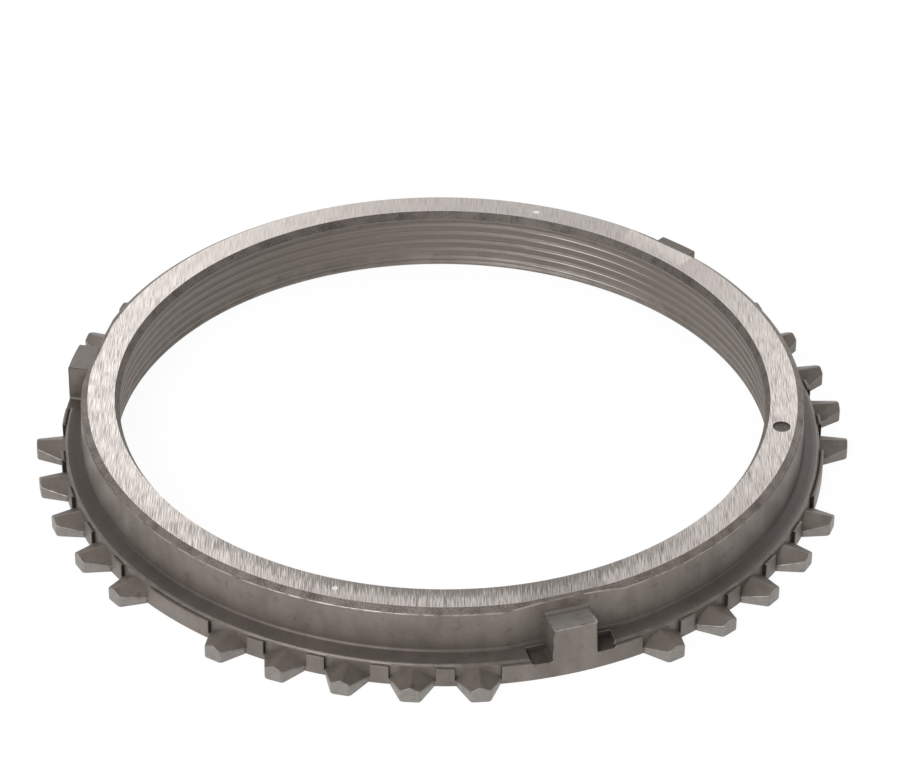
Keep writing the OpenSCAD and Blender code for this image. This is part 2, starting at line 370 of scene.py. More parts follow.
def repeated(bm, angles):
    """Puts copies of what the bmesh holds at each angle round the axis."""
    first = bm.verts[:] + bm.edges[:] + bm.faces[:]
    for turn in angles[1:]:
        copy = bmesh.ops.duplicate(bm, geom=first)["geom"]
        verts = [v for v in copy if isinstance(v, bmesh.types.BMVert)]
        bmesh.ops.rotate(bm, verts=verts, cent=(0, 0, 0), matrix=Matrix.Rotation(turn, 3, "Z"))
    if angles[0]:
        old = [v for v in first if isinstance(v, bmesh.types.BMVert)]
        bmesh.ops.rotate(bm, verts=old, cent=(0, 0, 0), matrix=Matrix.Rotation(angles[0], 3, "Z"))


def blank(bm, shape):
    """The turned ring before anything is cut into it."""
    turned(bm, bore_outline(shape) + outside_outline(shape), shape.steps)


def flats(bm, shape):
    """What is cut from the wall beside the lugs, with the hollow at its foot left standing."""
    sizes = shape.sizes
    # The flat shows from the slot's side to its own end; its foot meets the shelf midway there
    end = math.sqrt(shape.foot_r ** 2 - (shape.foot_r - sizes.flat_depth) ** 2)
    middle = (shape.slot_half + end) / 2
    foot_r = shape.foot_r - sizes.flat_depth
    foot_h = shape.shelf_h(math.hypot(foot_r, middle))
    far = shape.wall_top_r + 6 * CLEAR
    top = sizes.ring_height + CLEAR / 2
    outline = [
        (far, top),
        (shape.flat_edge_r(top), top),
        (shape.flat_r(shape.flat_top), shape.flat_top),
        *reversed(hollow(shape, (foot_r, foot_h), sizes.shelf_slope, sizes.foot_fillet)),
        (far, foot_h),
    ]
    tangent_bar(bm, outline, 2 * (end + CLEAR))
    repeated(bm, shape.lug_angles())


def slots(bm, shape):
    """What is cut from the flange round each lug, with round bottom corners at its ends."""
    back = shape.flat_r(shape.slot_floor) + shape.sizes.slot_ledge
    far = shape.land_r + 3 * CLEAR
    half, low, top = shape.slot_half, shape.slot_floor, shape.sizes.ring_height + CLEAR
    outline = [(-half, low), (half, low), (half, top), (-half, top)]
    face = flat_face(bm, [(x, -back, h) for x, h in outline])
    corners = [v for v in face.verts if v.co.z < top]
    bmesh.ops.bevel(
        bm, geom=corners, offset=shape.sizes.slot_round, segments=CORNER_STEPS, profile=0.5,
        affect="VERTICES", material=-1,
    )
    extruded(bm, bm.faces[:][0], (0, back - far, 0))
    repeated(bm, shape.lug_angles())


# Depth of the tool's crease at the back of a lug's flat top
LUG_CREASE = 0.12 * MM


def lug_bars(bm, shape):
    """The driving lugs before their ends are turned, each with a hollow up to the flat behind it."""
    sizes = shape.sizes
    rise = hollow(shape, (shape.flat_r(shape.lug_h), shape.lug_h), 0, sizes.lug_fillet)
    inside, far = shape.face_mid_r, shape.land_r + CLEAR
    back = rise[0][0]
    crease = [(back + 2 * LUG_CREASE, shape.lug_h), (back + LUG_CREASE, shape.lug_h - LUG_CREASE)]
    outline = [(inside, 0), (far, 0), (far, shape.lug_h), *crease, *rise, (inside, rise[-1][1])]
    tangent_bar(bm, outline, sizes.lug_width)
    repeated(bm, shape.lug_angles())


def lug_feet(bm, shape):
    """The hollow corners along the foot of each lug's two sides."""
    sizes = shape.sizes
    side, floor, radius = sizes.lug_width / 2, shape.slot_floor, sizes.lug_foot
    turns = [math.pi / 2 * i / CORNER_STEPS for i in range(CORNER_STEPS + 1)]
    arc = [(side + radius * (1 - math.sin(t)), floor + radius * (1 - math.cos(t))) for t in turns]
    outline = [(side - CLEAR / 2, floor - CLEAR / 2), (side + radius, floor - CLEAR / 2), *arc]
    outline.append((side - CLEAR / 2, floor + radius))
    start, end = shape.face_mid_r + CLEAR, shape.land_r + CLEAR
    radial_bar(bm, outline, start, end)
    radial_bar(bm, [(-x, h) for x, h in outline], start, end)
    repeated(bm, shape.lug_angles())


def drum(bm, shape, radius):
    """A drum about the axis that reaches past the ring's foot and top."""
    tall = shape.sizes.ring_height + 2 * CLEAR
    bmesh.ops.create_cone(
        bm, cap_ends=True, segments=shape.steps, radius1=radius, radius2=radius, depth=tall,
        matrix=Matrix.Translation((0, 0, shape.sizes.ring_height / 2)),
    )


def tooth_bars(bm, shape):
    """The teeth before their roofs are cut, with round tips and with their heels inside the rim."""
    sizes = shape.sizes
    root, tip, heel = sizes.root_width / 2, sizes.tip_width / 2, shape.rim_r - CLEAR
    face = flat_face(bm, [
        (-root, -heel, 0), (-root, -shape.land_r, 0), (-tip, -shape.tip_r, 0),
        (tip, -shape.tip_r, 0), (root, -shape.land_r, 0), (root, -heel, 0),
    ])
    corners = [v for v in face.verts if v.co.y < -shape.land_r - CLEAR]
    lean = math.atan2(root - tip, sizes.tooth_reach)
    bmesh.ops.bevel(
        bm, geom=corners, offset=sizes.tip_round * math.tan((math.pi / 2 - lean) / 2),
        segments=CORNER_STEPS, profile=0.5, affect="VERTICES", material=-1,
    )
    extruded(bm, bm.faces[:][0], (0, 0, shape.tooth_h + CLEAR / 2))
    repeated(bm, shape.tooth_angles())


def roofs(bm, shape):
    """What is cut away above the pointed roof of each tooth."""
    sizes = shape.sizes
    half = sizes.root_width / 2 + sizes.shoulder_width
    eave = shape.tooth_h - half * math.tan(sizes.roof_slope)
    top = sizes.rim_height + CLEAR
    gable = [(-half, eave), (0, shape.tooth_h), (half, eave), (half, top), (-half, top)]
    radial_bar(bm, gable, shape.rim_r - CLEAR, shape.tip_r + CLEAR)
    repeated(bm, shape.tooth_angles())


DENT_STEPS = 32
PUNCH_STEPS = 48


def marks(bm, shape):
    """Two hardness test dents and one plain round punch mark in the ground face."""
    sizes = shape.sizes
    for turn in (sizes.dent_angle, sizes.dent_angle + math.pi):
        place = Matrix.Rotation(turn, 4, "Z") @ Matrix.Translation(
            (0, -shape.face_mid_r, sizes.ring_height + sizes.dent_ball - sizes.dent_depth)
        )
        bmesh.ops.create_uvsphere(
            bm, u_segments=DENT_STEPS, v_segments=DENT_STEPS, radius=sizes.dent_ball, matrix=place
        )
    deep = sizes.punch_depth + CLEAR
    place = Matrix.Rotation(sizes.punch_angle, 4, "Z") @ Matrix.Translation(
        (0, -shape.face_mid_r, sizes.ring_height - sizes.punch_depth + deep / 2)
    )
    bmesh.ops.create_cone(
        bm, cap_ends=True, segments=PUNCH_STEPS, radius1=sizes.punch_width / 2,
        radius2=sizes.punch_width / 2, depth=deep, matrix=place,
    )


def solid(name, build, *values):
    """A scratch object whose mesh a function builds."""
    bm = bmesh.new()
    build(bm, *values)
    mesh = bpy.data.meshes.new(name)
    bm.to_mesh(mesh)
    bm.free()
    made = bpy.data.objects.new(name, mesh)
    bpy.context.scene.collection.objects.link(made)
    return made


def combine(target, operation, tool):
    """Adds one boolean step to a scratch object."""
    step = target.modifiers.new(tool.name, "BOOLEAN")
    step.operation = operation
    step.solver = "MANIFOLD"
    step.object = tool


def machined(shape):
    """Cuts and joins the solids into the ring's one body, and returns it as a bmesh."""
    # The rim stands this far inside the roofs' cut, so that the two surfaces never coincide
    skim = 0.005 * MM
    ring = solid("blank", blank, shape)
    roof = solid("roofs", roofs, shape)
    core = solid("core", drum, shape, shape.rim_r + skim)
    combine(roof, "DIFFERENCE", core)
    steps = [
        ("DIFFERENCE", solid("flats", flats, shape)),
        ("DIFFERENCE", solid("slots", slots, shape)),
        ("UNION", solid("lugs", lug_bars, shape)),
        ("UNION", solid("lug_feet", lug_feet, shape)),
        ("INTERSECT", solid("outside", drum, shape, shape.land_r)),
        ("UNION", solid("teeth", tooth_bars, shape)),
        ("DIFFERENCE", roof),
        ("DIFFERENCE", solid("marks", marks, shape)),
    ]
    for operation, tool in steps:
        combine(ring, operation, tool)
    view = bpy.context.evaluated_depsgraph_get()
    bm = bmesh.new()
    bm.from_mesh(ring.evaluated_get(view).to_mesh())
    for used in [ring, core] + [tool for _, tool in steps]:
        bpy.data.meshes.remove(used.data)
    return bm


# Zones of the ring, one for each finish
(
    SATIN, WALL, SHELF, SLOT, PALE, SKIN, LIP, SEAM, GROUND, CONE, CREST, WORN_HIGHLIT, RUBBED, EDGE, DENT,
) = range(15)
# How much a face's normal points up: more on a level face, and less on a slanted, steep or upright one
LEVEL, SLANTED, STEEP, UPRIGHT = 0.9, 0.5, 0.3, 0.1
# Places closer than this count as the same
NEAR = 0.02 * MM
# Corners closer together than this are joined before the edges are rounded
MERGE = 0.06 * MM


def on_flat(face, shape):
    """Whether a face belongs to the upright flat behind a lug."""
    spot = shape.at_first_lug(face.calc_center_median())
    beside = abs(spot.x) < shape.slot_half and -spot.y < shape.foot_r
    return beside and abs(face.normal.z) < UPRIGHT and shape.at_first_lug(face.normal).y < -LEVEL


def split_at_lugs(bm, shape):
    """Splits the flats in line with each lug's sides and its smooth band, where the finish changes."""
    sizes = shape.sizes
    cuts = [(Vector((0, 0, shape.lug_h + sizes.lug_band)), Vector((0, 0, 1)))]
    for turn in shape.lug_angles():
        across = Matrix.Rotation(turn, 3, "Z") @ Vector((1, 0, 0))
        cuts += [(side * sizes.lug_width / 2, side) for side in (across, -across)]
    for place, way in cuts:
        faces = [face for face in bm.faces if on_flat(face, shape)]
        edges = {edge for face in faces for edge in face.edges}
        verts = {vert for face in faces for vert in face.verts}
        bmesh.ops.bisect_plane(
            bm, geom=[*verts, *edges, *faces], dist=NEAR / 10, plane_co=place, plane_no=way
        )


def bore_zone(r, h, shape):
    """Which finish a face in the bore has."""
    if h > shape.throat_h - NEAR:
        return LIP
    return CREST if abs(r - shape.cone_r(h)) < NEAR else CONE


def inner_zone(face, shape):
    """Which finish a face of the lugs, the wall, the slots or the shelf has."""
    sizes = shape.sizes
    middle, up = face.calc_center_median(), face.normal.z
    r, h = math.hypot(middle.x, middle.y), middle.z
    aside = abs(shape.at_first_lug(middle).x)
    if aside < sizes.lug_width / 2 - NEAR and h > shape.lug_h - LUG_CREASE:
        # The lug's level top is paler steel: painted light from above
        if up > LEVEL:
            return PALE
        return SKIN if up < UPRIGHT and h > shape.lug_h + sizes.lug_band else SATIN
    beside_lug = sizes.lug_width / 2 < aside < shape.slot_half + NEAR and r < shape.land_r - MERGE
    if beside_lug and shape.slot_floor - NEAR < h < shape.foot_h - NEAR and r > shape.foot_r - NEAR:
        return SLOT
    if r < shape.rim_r - sizes.rim_chamfer and h > shape.land_h:
        if up < UPRIGHT or h > shape.foot_h + sizes.foot_fillet:
            return WALL
        # The hollow beside a slot takes the slots' painted shade
        return SLOT if aside < shape.slot_half + CLEAR and r < shape.foot_r + sizes.foot_fillet else SHELF
    return SATIN


def zone(face, shape):
    """Which finish a face of the ring has."""
    sizes = shape.sizes
    middle, up = face.calc_center_median(), face.normal.z
    r, h = math.hypot(middle.x, middle.y), middle.z
    if h > sizes.ring_height - NEAR:
        return GROUND
    in_face = shape.lip_r + NEAR < r < sizes.face_radius - CLEAR
    if in_face and h > sizes.ring_height - sizes.punch_depth - NEAR:
        # The punch mark takes the dark lip skin: oxide on its floor, painted shade on its wall
        return LIP if (middle - shape.punch_place()).length < sizes.punch_width else DENT
    if r < shape.lip_r + sizes.mouth_chamfer and h > NEAR:
        return bore_zone(r, h, shape)
    if h > shape.wall_top and up > STEEP:
        return SKIN
    if r > shape.land_r + NEAR and abs(up) < STEEP:
        return PALE
    # The fine seam and the lands' upright sides take the dark seam finish: painted shade in these crevices
    if abs(r - shape.rim_r) < 2 * sizes.rim_chamfer and SLANTED < up < LEVEL:
        return RUBBED if h > shape.land_h else SEAM
    outward = face.normal.dot(middle) / r
    if shape.rim_r + NEAR < r < shape.land_r - NEAR and max(abs(up), abs(outward)) < STEEP:
        return SEAM
    return inner_zone(face, shape)


# Edges sharper than this are rounded, in this many steps
EDGE_ANGLE = math.radians(25)
EDGE_STEPS = 3


def edge_group(edge, shape):
    """Which of the roundings an edge gets, or none."""
    sizes = shape.sizes
    if not edge.is_manifold or edge.calc_face_angle_signed() < EDGE_ANGLE:
        return None
    middle = (edge.verts[0].co + edge.verts[1].co) / 2
    r = math.hypot(middle.x, middle.y)
    if r < sizes.face_radius - CLEAR / 2:
        return None
    if middle.z > sizes.ring_height - NEAR:
        return "face"
    if r > shape.rim_r and abs(middle.z - shape.tooth_h) < NEAR:
        return "ridge"
    spot = shape.at_first_lug(middle)
    on_lug = abs(spot.x) < sizes.lug_width / 2 + NEAR and r > shape.foot_r
    if on_lug and shape.foot_h < middle.z < shape.lug_h + sizes.lug_fillet:
        return "lug"
    return "other"


def rounding_zone(face, group, shape):
    """Which finish the rounding of an edge has."""
    if group == "face":
        return SKIN
    middle = face.calc_center_median()
    if group == "lug" or middle.z > shape.lug_h + shape.sizes.lug_band:
        return WORN_HIGHLIT
    if face.normal.z < STEEP or group == "ridge":
        return SATIN
    return EDGE if math.hypot(middle.x, middle.y) > shape.land_r + NEAR else RUBBED


def rounded(bm, shape):
    """Rounds the convex edges outside the bore, and gives the roundings their finish."""
    sizes = shape.sizes
    outer = [v for v in bm.verts if math.hypot(v.co.x, v.co.y) > sizes.face_radius - CLEAR]
    bmesh.ops.remove_doubles(bm, verts=outer, dist=MERGE)
    bmesh.ops.dissolve_degenerate(bm, dist=MERGE / 6, edges=bm.edges)
    split_at_lugs(bm, shape)
    for face in bm.faces:
        face.material_index = zone(face, shape)
        face.smooth = face.material_index != GROUND
    roundings = {
        "face": sizes.edge_round / 3,
        "lug": sizes.lug_round,
        "ridge": sizes.ridge_round,
        "other": sizes.edge_round,
    }
    for group, size in roundings.items():
        sharp = [edge for edge in bm.edges if edge_group(edge, shape) == group]
        made = bmesh.ops.bevel(
            bm, geom=sharp, offset=size, segments=EDGE_STEPS, profile=0.5,
            affect="EDGES", material=-1, clamp_overlap=False, loop_slide=True,
        )
        for face in made["faces"]:
            face.material_index = rounding_zone(face, group, shape)
            face.smooth = True


# Materials

# The grinding marks, and the front of the ring, lie in this direction
GRIND_TURN = math.radians(-19.07)


class Finish:
    """A material's node tree, with short ways to add and join nodes. Sizes are in millimetres."""

    def __init__(self, name, metallic):
        self.material = bpy.data.materials.new(name)
        self.material.use_nodes = True
        self.tree = self.material.node_tree
        self.shader = self.tree.nodes["Principled BSDF"]
        self.shader.inputs["Metallic"].default_value = metallic
        self.place = self.add("ShaderNodeTexCoord").outputs["Object"]

    def add(self, kind, **values):
        """Adds a node and sets its own values."""
        node = self.tree.nodes.new(kind)
        for key, value in values.items():
            setattr(node, key, value)
        return node

    def put(self, socket, value):
        """Joins an output to a socket, or sets the socket to a plain value."""
        if isinstance(value, bpy.types.NodeSocket):
            self.tree.links.new(value, socket)
        else:
            socket.default_value = value

    def math(self, operation, first, second):
        """What an operation makes of two values."""
        node = self.add("ShaderNodeMath", operation=operation)
        self.put(node.inputs[0], first)
        self.put(node.inputs[1], second)
        return node.outputs[0]

    def times(self, first, second):
        """The product of two values."""
        return self.math("MULTIPLY", first, second)

    def weighted(self, first, share, second):
        """A share of the first value, and the rest from the second."""
        return self.math("ADD", self.times(first, share), self.times(second, 1 - share))

    def scaled(self, sizes, turn=0.0):
        """Object coordinates turned about the axis and divided by a size along each axis."""
        node = self.add("ShaderNodeMapping", vector_type="TEXTURE")
        self.put(node.inputs["Vector"], self.place)
        node.inputs["Rotation"].default_value = (0, 0, turn)
        node.inputs["Scale"].default_value = [size * MM for size in sizes]
        return node.outputs["Vector"]

    def part(self, vector, index):
        """One of a vector's three parts."""
        node = self.add("ShaderNodeSeparateXYZ")
        self.put(node.inputs[0], vector)
        return node.outputs[index]

    def radius(self):
        """Distance from the ring's axis, in millimetres."""
        flat = self.add("ShaderNodeVectorMath", operation="MULTIPLY")
        self.put(flat.inputs[0], self.scaled((1, 1, 1)))
        flat.inputs[1].default_value = (1, 1, 0)
        node = self.add("ShaderNodeVectorMath", operation="LENGTH")
        self.put(node.inputs[0], flat.outputs[0])
        return node.outputs["Value"]

    def height(self):
        """Height above the ring's foot, in millimetres."""
        return self.part(self.scaled((1, 1, 1)), 2)

    def depth(self):
        """How far back a point lies, in millimetres: the front of the ring is below zero."""
        return self.part(self.scaled((1, 1, 1), GRIND_TURN), 1)

    def across(self):
        """How far a point lies to the right of the axis, seen from the front, in millimetres."""
        return self.part(self.scaled((1, 1, 1), GRIND_TURN), 0)

    def turning(self, fine, along):
        """Coordinates for turning marks: fine across the marks, and long along them."""
        place = self.scaled((1, 1, 1))
        around = self.math("ADD", self.part(place, 0), self.part(place, 1))
        made = self.add("ShaderNodeCombineXYZ")
        self.put(made.inputs[0], self.times(self.radius(), 1 / fine))
        self.put(made.inputs[1], self.times(self.height(), 1 / fine))
        self.put(made.inputs[2], self.times(around, 1 / along))
        return made.outputs[0]

    def noise(self, vector, detail=3.0, rough=0.55):
        """Noise on coordinates that already have its size."""
        node = self.add("ShaderNodeTexNoise")
        self.put(node.inputs["Vector"], vector)
        node.inputs["Scale"].default_value = 1.0
        node.inputs["Detail"].default_value = detail
        node.inputs["Roughness"].default_value = rough
        return node.outputs["Fac"]

    def grain(self, size, detail=3.0, rough=0.55):
        """Noise of the same size every way."""
        return self.noise(self.scaled((size, size, size)), detail, rough)

    def remap(self, value, low, high, to_low=0.0, to_high=1.0):
        """Takes one range of a value to another, and stops at its ends."""
        node = self.add("ShaderNodeMapRange")
        self.put(node.inputs["Value"], value)
        limits = {"From Min": low, "From Max": high, "To Min": to_low, "To Max": to_high}
        for name, number in limits.items():
            node.inputs[name].default_value = number
        return node.outputs["Result"]

    def mix(self, share, first, second):
        """Two colours mixed: all of the first at no share, and all of the second at one."""
        node = self.add("ShaderNodeMix", data_type="RGBA")
        self.put(node.inputs["Factor"], share)
        for name, value in (("A", first), ("B", second)):
            socket = [i for i in node.inputs if i.name == name and i.type == "RGBA"][0]
            self.put(socket, value if isinstance(value, bpy.types.NodeSocket) else (*value, 1))
        return [o for o in node.outputs if o.type == "RGBA"][0]

    def colour(self, value):
        """Gives the shader its colour."""
        self.put(self.shader.inputs["Base Color"], value)

    def rough(self, value):
        """Gives the shader its roughness."""
        self.put(self.shader.inputs["Roughness"], value)

    def bump(self, height, depth):
        """Raises the surface by a height of zero to one times a depth."""
        node = self.add("ShaderNodeBump")
        node.inputs["Distance"].default_value = depth * MM
        node.inputs["Strength"].default_value = 1.0
        self.put(node.inputs["Height"], height)
        self.put(self.shader.inputs["Normal"], node.outputs["Normal"])


def satin_steel(name, colours, shade=None):
    """Satin steel with broad mottling, faint smudges and small dark specks, and any painted shade given."""
    look = Finish(name, metallic=0.35)
    mottle = look.grain(9)
    smudge = look.noise(look.scaled((2.4, 2.4, 5)))
    both = look.weighted(mottle, 0.6, smudge)
    base = look.mix(look.remap(both, 0.40, 0.62), colours.steel, colours.steel_dark)
    speck = look.noise(look.scaled((0.45, 0.45, 0.6)), detail=2)
    stain = look.grain(1.8)
    base = look.mix(look.remap(stain, 0.60, 0.74, 0, 0.4), base, colours.skin_dark)
    base = look.mix(look.remap(speck, 0.66, 0.76, 0, 0.7), base, colours.skin_dark)
    if shade:
        # Painted shade: the share that the shade gives darkens the steel
        base = look.mix(shade(look), base, colours.painted_shade)
    look.colour(base)
    lathe_marks = look.noise(look.turning(fine=0.16, along=30), detail=2)
    grain = look.grain(0.3)
    look.rough(look.remap(grain, 0.3, 0.7, 0.38, 0.52))
    look.bump(look.weighted(lathe_marks, 0.6, grain), 0.012)
    return look.material


# How high the painted shade climbs the wall, in millimetres, and how dark it is on the left and the right
SHADE_RISE = 6
SHADE_LEFT, SHADE_RIGHT = 0.55, 0.36
# How dark the painted shade is in the slots
SLOT_SHADE = 0.58


def wall_steel(colours, shape):
    """Satin steel of the wall, with painted shade darkening it towards its foot, less on the right."""
    def shade(look):
        foot = shape.foot_h / MM
        rise = look.math("POWER", look.remap(look.height(), foot, foot + SHADE_RISE), 0.6)
        fall = look.remap(rise, 0, 1, 1, 0)
        return look.times(fall, look.remap(look.across(), 0, 40, SHADE_LEFT, SHADE_RIGHT))
    return satin_steel("wall_steel", colours, shade)


def shelf_steel(colours, shape):
    """Satin steel of the shelf and the hollow behind it in painted shade, lighter at the rim on the right.
    """
    def shade(look):
        middle = (shape.foot_r + shape.rim_r) / 2
        outer = look.remap(look.radius(), middle / MM, shape.rim_r / MM)
        less_shade = look.times(outer, look.remap(look.across(), 10, 50, 0.15, 0.6))
        # Painted shade, heavier at the sides of the ring than at its front
        side_shade = look.remap(look.depth(), -58, -20, 0.50, 0.94)
        return look.times(side_shade, look.math("SUBTRACT", 1, less_shade))
    return satin_steel("shelf_steel", colours, shade)


def slot_steel(colours):
    """Satin steel of the slots beside the lugs, darkened evenly by painted shade."""
    return satin_steel("slot_steel", colours, lambda look: SLOT_SHADE)


def forged_skin(name, light, dark):
    """Rough forged skin: light and dark grains on a brown ground."""
    look = Finish(name, metallic=0.3)
    grain = look.grain(0.22, detail=4, rough=0.65)
    patch = look.grain(3, detail=2)
    share = look.math("ADD", grain, look.times(look.math("SUBTRACT", patch, 0.5), 0.6))
    look.colour(look.mix(look.remap(share, 0.40, 0.72), light, dark))
    look.rough(look.remap(grain, 0.3, 0.7, 0.45, 0.68))
    look.bump(grain, 0.05)
    return look.material


# Share of dark streaks in the ground face, on average
MEAN_STREAK = 0.37


def ground_steel(colours, shape):
    """Ground face: straight fine streaks, and painted shade on a ragged inner half at the front."""
    look = Finish("ground_steel", metallic=0.92)
    streak = look.noise(look.scaled((0.11, 3.8, 3), GRIND_TURN), detail=2, rough=0.6)
    broad = look.noise(look.scaled((1.2, 6, 3), GRIND_TURN), detail=2)
    both = look.weighted(streak, 0.86, broad)
    # Painted reflection: the streaks are keenest at the front and fade towards the back
    keen = look.remap(look.depth(), 5, 42, 1, 0.4)
    inner = look.remap(look.radius(), shape.lip_r / MM, shape.sizes.face_radius / MM, 1, 0)
    ragged = look.math("ADD", inner, look.times(look.math("SUBTRACT", both, 0.5), 2.5))
    # Painted shade: the inner half is darker at the front, with a ragged edge
    front_shade = look.times(look.remap(ragged, 0.40, 0.75), look.remap(look.depth(), -38, -54, 0, 0.8))
    light = look.times(look.math("SUBTRACT", look.remap(both, 0.42, 0.64), MEAN_STREAK), keen)
    share = look.math("ADD", look.math("ADD", light, MEAN_STREAK), front_shade)
    look.colour(look.mix(share, colours.ground, colours.ground_dark))
    look.rough(look.remap(both, 0.35, 0.65, 0.30, 0.44))
    look.bump(look.times(streak, keen), 0.02)
    return look.material


def cone_steel(colours, shape):
    """Turned grooves of the cone, with the rough skin of the lip running raggedly down into them."""
    look = Finish("cone_steel", metallic=0.4)
    lines = look.noise(look.turning(fine=0.14, along=25))
    blot = look.noise(look.scaled((1.5, 1.5, 0.6)), detail=4)
    base = look.mix(look.remap(lines, 0.38, 0.64), colours.cone, colours.steel_dark)
    ragged = look.math("ADD", look.height(), look.times(blot, 2.6))
    edge = shape.throat_h / MM + 1
    look.colour(look.mix(look.remap(ragged, edge - 0.2, edge + 0.2), base, colours.skin_dark))
    look.rough(look.remap(blot, 0.3, 0.7, 0.40, 0.56))
    look.bump(lines, 0.03)
    return look.material


def rubbed(name, bright, colours, patch, low, high):
    """Bright metal that comes and goes along an edge."""
    look = Finish(name, metallic=0.5)
    spot = look.grain(patch, detail=4, rough=0.6)
    look.colour(look.mix(look.remap(spot, low, high), bright, colours.steel))
    look.rough(look.remap(spot, 0.3, 0.7, 0.34, 0.48))
    look.bump(spot, 0.01)
    return look.material


def crest_edge(look, shape):
    """One along the upper edge of each crest, and zero elsewhere."""
    sizes = shape.sizes
    low = (first_ridge(sizes) - sizes.crest_width / 2) / MM
    turns = look.times(look.math("SUBTRACT", look.height(), low), MM / sizes.ridge_pitch)
    share = sizes.crest_width / sizes.ridge_pitch
    edge = look.remap(look.math("FRACT", turns, 0), 0.45 * share, 0.65 * share)
    top = (shape.throat_h - sizes.ridge_pitch / 2) / MM
    return look.times(edge, look.math("LESS_THAN", look.height(), top))


def ridge_crest(colours, shape):
    """Friction ridge crests, darker on the left; on the right, worn upper edges with a painted highlight.
    """
    look = Finish("ridge_crest", metallic=0.5)
    spot = look.grain(1.4, detail=4, rough=0.6)
    base = look.mix(look.remap(spot, 0.42, 0.70), colours.crest, colours.steel)
    base = look.mix(look.remap(look.across(), 5, -25, 0, 0.7), base, colours.steel_dark)
    # Painted highlight on worn crests: their upper edges shine only on the right
    worn_and_highlight = look.times(look.remap(look.across(), 14, 22), look.remap(look.across(), 38, 28))
    look.colour(look.mix(look.times(crest_edge(look, shape), worn_and_highlight), base, colours.dent))
    look.rough(look.remap(spot, 0.3, 0.7, 0.32, 0.46))
    look.bump(spot, 0.01)
    return look.material


def worn_highlit_edge(colours):
    """Worn edges, bright in patches where a painted highlight lies along the front of the ring."""
    look = Finish("worn_highlit_edge", metallic=0.7)
    spot = look.grain(2.2, detail=4, rough=0.6)
    # Patches of wear, and a painted highlight that fades from the front of the ring to its back
    wear_and_front_highlight = look.times(look.remap(spot, 0.72, 0.46), look.remap(look.depth(), -24, -46, 0.14, 1))
    look.colour(look.mix(wear_and_front_highlight, colours.skin_dark, colours.worn_and_highlight))
    look.rough(look.remap(spot, 0.3, 0.7, 0.28, 0.42))
    look.bump(spot, 0.01)
    return look.material


def pale_steel(colours):
    """Paler steel of the teeth's sides and the lugs' tops, with faint cutting lines, darker at the back."""
    look = Finish("pale_steel", metallic=0.4)
    lines = look.noise(look.scaled((2.5, 2.5, 0.16)))
    patch = look.grain(0.9)
    both = look.weighted(lines, 0.5, patch)
    base = look.mix(look.remap(both, 0.45, 0.66), colours.pale, colours.steel)
    look.colour(look.mix(look.remap(look.depth(), -30, 15, 0, 0.8), base, colours.steel_dark))
    look.rough(look.remap(patch, 0.3, 0.7, 0.36, 0.50))
    look.bump(lines, 0.012)
    return look.material


def bright_dent(colours):
    """Smooth bright bottom of a hardness dent."""
    look = Finish("bright_dent", metallic=0.3)
    patch = look.grain(0.4, detail=2)
    look.colour(look.mix(look.remap(patch, 0.4, 0.7, 0.15, 0.6), colours.dent, colours.ground))
    look.rough(look.remap(patch, 0.3, 0.7, 0.38, 0.52))
    look.bump(patch, 0.004)
    return look.material


def ring_materials(colours, shape):
    """The finish of each zone."""
    return {
        SATIN: satin_steel("satin_steel", colours),
        WALL: wall_steel(colours, shape),
        SHELF: shelf_steel(colours, shape),
        SLOT: slot_steel(colours),
        PALE: pale_steel(colours),
        SKIN: forged_skin("forged_skin", colours.skin, colours.skin_dark),
        LIP: forged_skin("lip_skin", colours.lip, colours.lip_dark),
        # Painted shade in the narrow seam and beside the lands
        SEAM: forged_skin("dark_seam", colours.lip_dark, colours.painted_shade),
        GROUND: ground_steel(colours, shape),
        CONE: cone_steel(colours, shape),
        CREST: ridge_crest(colours, shape),
        WORN_HIGHLIT: worn_highlit_edge(colours),
        RUBBED: rubbed("rubbed_edge", colours.rubbed, colours, 1.8, 0.42, 0.70),
        # The teeth's rounded edges get the bright worn colour in patches as a painted highlight
        EDGE: rubbed("tooth_edge", colours.worn_and_highlight, colours, 0.9, 0.40, 0.64),
        DENT: bright_dent(colours),
    }


# Smooth shading stops at edges sharper than this
SHARP_ANGLE = math.radians(35)


class SYNCRING_OT_ring(bpy.types.Operator):
    """Model the steel ring with its teeth, lugs and friction cone"""

    bl_idname = "syncring.ring"
    bl_label = "Synchronizer Ring"

    def execute(self, context):
        shape = RingShape(context.scene.ring_sizes)
        bm = machined(shape)
        rounded(bm, shape)
        mesh = bpy.data.meshes.new("ring_body")
        bm.to_mesh(mesh)
        bm.free()
        mesh.set_sharp_from_angle(angle=SHARP_ANGLE)
        finishes = ring_materials(context.scene.ring_colours, shape)
        for index in sorted(finishes):
            mesh.materials.append(finishes[index])
        ring = bpy.data.objects.new("ring_body", mesh)
        context.scene.collection.objects.link(ring)
        ring.modifiers.new("even_normals", "WEIGHTED_NORMAL").keep_sharp = True
        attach(ring, "root")
        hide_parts(RING_NODE)
        return {"FINISHED"}


def pale_floor(bm, stage):
    """One large flat face under the ring."""
    bmesh.ops.create_grid(bm, x_segments=1, y_segments=1, size=stage.floor_size / 2)


def seen_straight(tree):
    """One where a camera, glossy or transmission ray looks, and zero for diffuse light."""
    path = tree.nodes.new("ShaderNodeLightPath")
    seen = path.outputs["Is Camera Ray"]
    for ray in ("Is Glossy Ray", "Is Transmission Ray"):
        either = tree.nodes.new("ShaderNodeMath")
        either.operation = "MAXIMUM"
        tree.links.new(seen, either.inputs[0])
        tree.links.new(path.outputs[ray], either.inputs[1])
        seen = either.outputs[0]
    return seen


# How much of the floor's look is its own even white, and how bright that is
FLOOR_GLOW = 0.92
FLOOR_WHITE = 1.02


